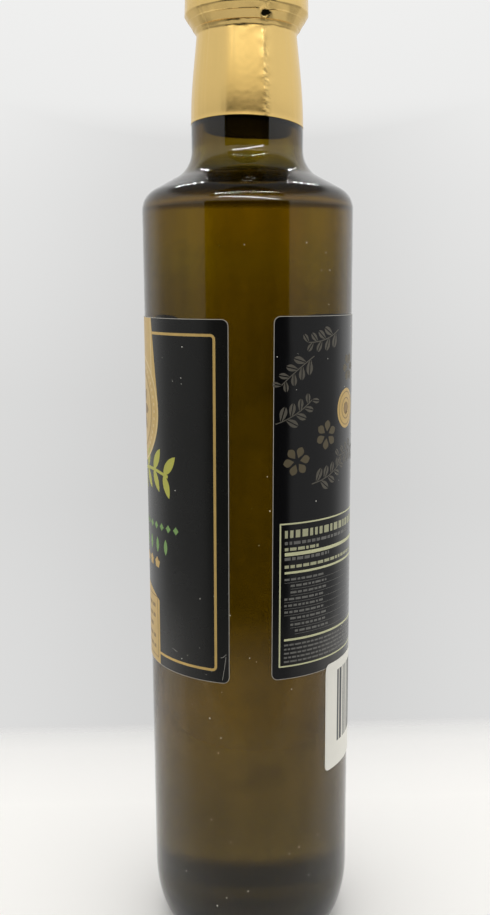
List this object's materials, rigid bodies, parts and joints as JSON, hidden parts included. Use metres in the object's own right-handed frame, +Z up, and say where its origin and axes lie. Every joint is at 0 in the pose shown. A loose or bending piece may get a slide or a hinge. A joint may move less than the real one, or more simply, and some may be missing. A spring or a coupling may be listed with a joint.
{
  "type": "olive oil bottle",
  "caption": "Tall round dark glass bottle of olive oil with sloping square shoulders, a gold capsule over cap and neck, two wrap labels and a stock sticker.",
  "frame": {"origin": "centre of the bottle's base, on the plane that it stands on", "axes": "+Z up along the bottle's axis; the front label faces -Y, the back label faces +Y, and the glass between them faces +X"},
  "size_m": [0.0597, 0.0611, 0.2905],
  "materials": {
    "glass": "dark olive green bottle glass, smooth and clear",
    "oil": "clear golden green oil",
    "gold_foil": "gold lacquered foil, satin, crinkled at its lap seam",
    "front_label_paper": "black coated paper with a thin gold border",
    "back_label_paper": "blue-black coated paper with pale ruled panel",
    "sticker_paper": "white matt sticker paper with dark bars"
  },
  "bodies": {
    "root": {"bottle_glass": "glass", "olive_oil": "oil", "gold_capsule": "gold_foil", "front_label": "front_label_paper", "back_label": "back_label_paper", "stock_sticker": "sticker_paper"}
  },
  "joints": []
}
